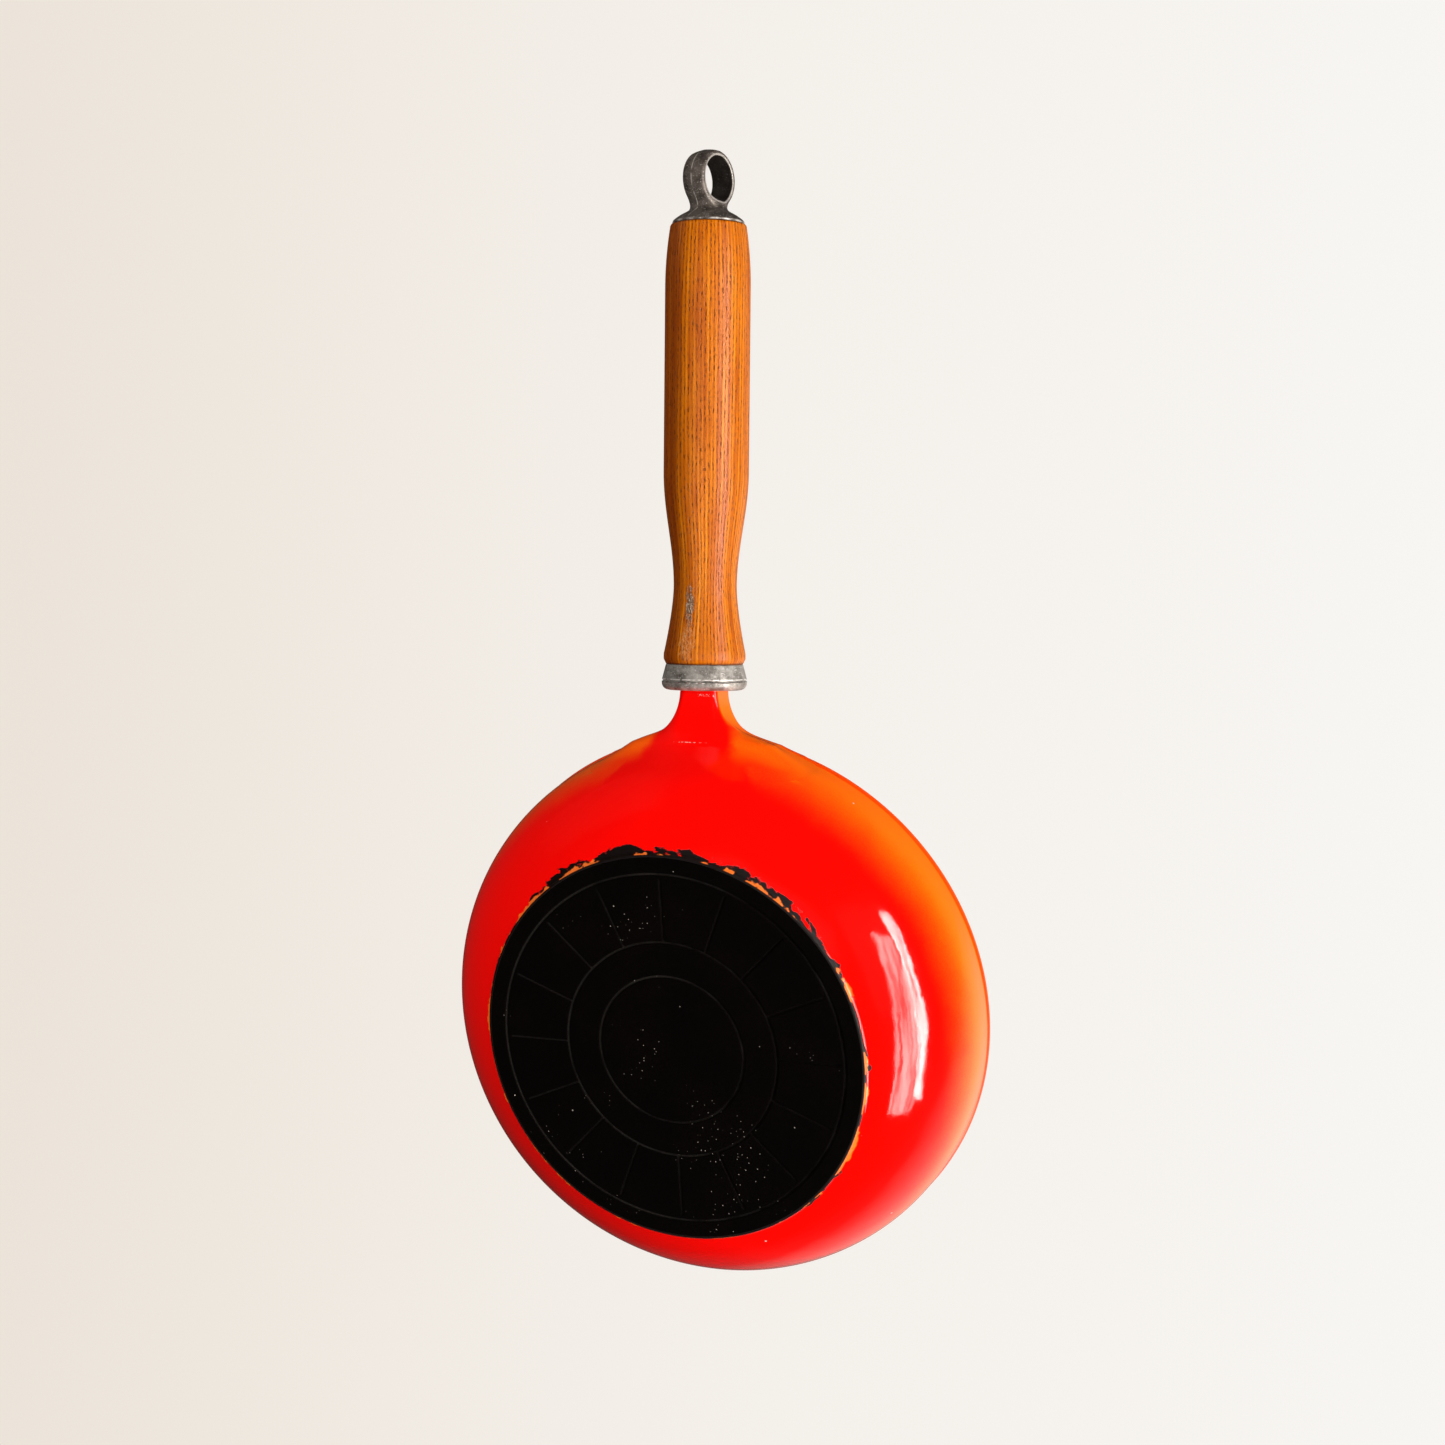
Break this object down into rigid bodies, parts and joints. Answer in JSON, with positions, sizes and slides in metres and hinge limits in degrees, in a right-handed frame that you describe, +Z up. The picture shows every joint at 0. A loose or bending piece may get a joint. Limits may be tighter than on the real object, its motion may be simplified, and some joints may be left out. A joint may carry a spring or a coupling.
{
  "type": "cooking pan",
  "caption": "Round enamelled cast-iron pan with a bulging wall, flat base and flared neck; a turned wooden grip is clamped on a rod between an alloy collar and a hanging eye that unscrews.",
  "frame": {"origin": "centre of the flat base, on the surface that the pan stands on", "axes": "+Z up out of the bowl, +X along the handle's direction, +Y across the pan"},
  "size_m": [0.4439, 0.22, 0.1036],
  "materials": {
    "enamelled_iron": "glossy red enamel fading to orange near the rim, matt black base and satin black inside",
    "collar_alloy": "cast light grey alloy, pitted and scratched",
    "nut_steel": "zinc-plated steel",
    "grip_wood": "satin varnished open-pored wood, orange-brown",
    "rod_steel": "plain drawn steel with cut threads",
    "washer_steel": "zinc-plated steel",
    "spring_steel": "dark oiled spring steel",
    "eye_alloy": "cast dark grey alloy with worn bright edges"
  },
  "bodies": {
    "pan": {"pan_body": "enamelled_iron", "collar": "collar_alloy", "collar_nut": "nut_steel", "wood_grip": "grip_wood", "tie_rod": "rod_steel", "grip_washer": "washer_steel"},
    "turning_washer": {"spring_washer": "spring_steel"},
    "eye": {"hanging_eye": "eye_alloy"}
  },
  "joints": [
    {"name": "eye_turn", "type": "hinge", "parent": "pan", "child": "turning_washer", "pos_m": [0.30538, 0, 0.08897], "axis": [0.9823, 0, 0.1874], "range_deg": [0, 2790]},
    {"name": "eye_travel", "type": "slide", "parent": "turning_washer", "child": "eye", "axis": [0.9823, 0, 0.1874], "range_m": [0, 0.0097]}
  ],
  "couplings": [
    {"joint": "eye_travel", "follows": "eye_turn", "m_per_rad": 0.00019894}
  ]
}
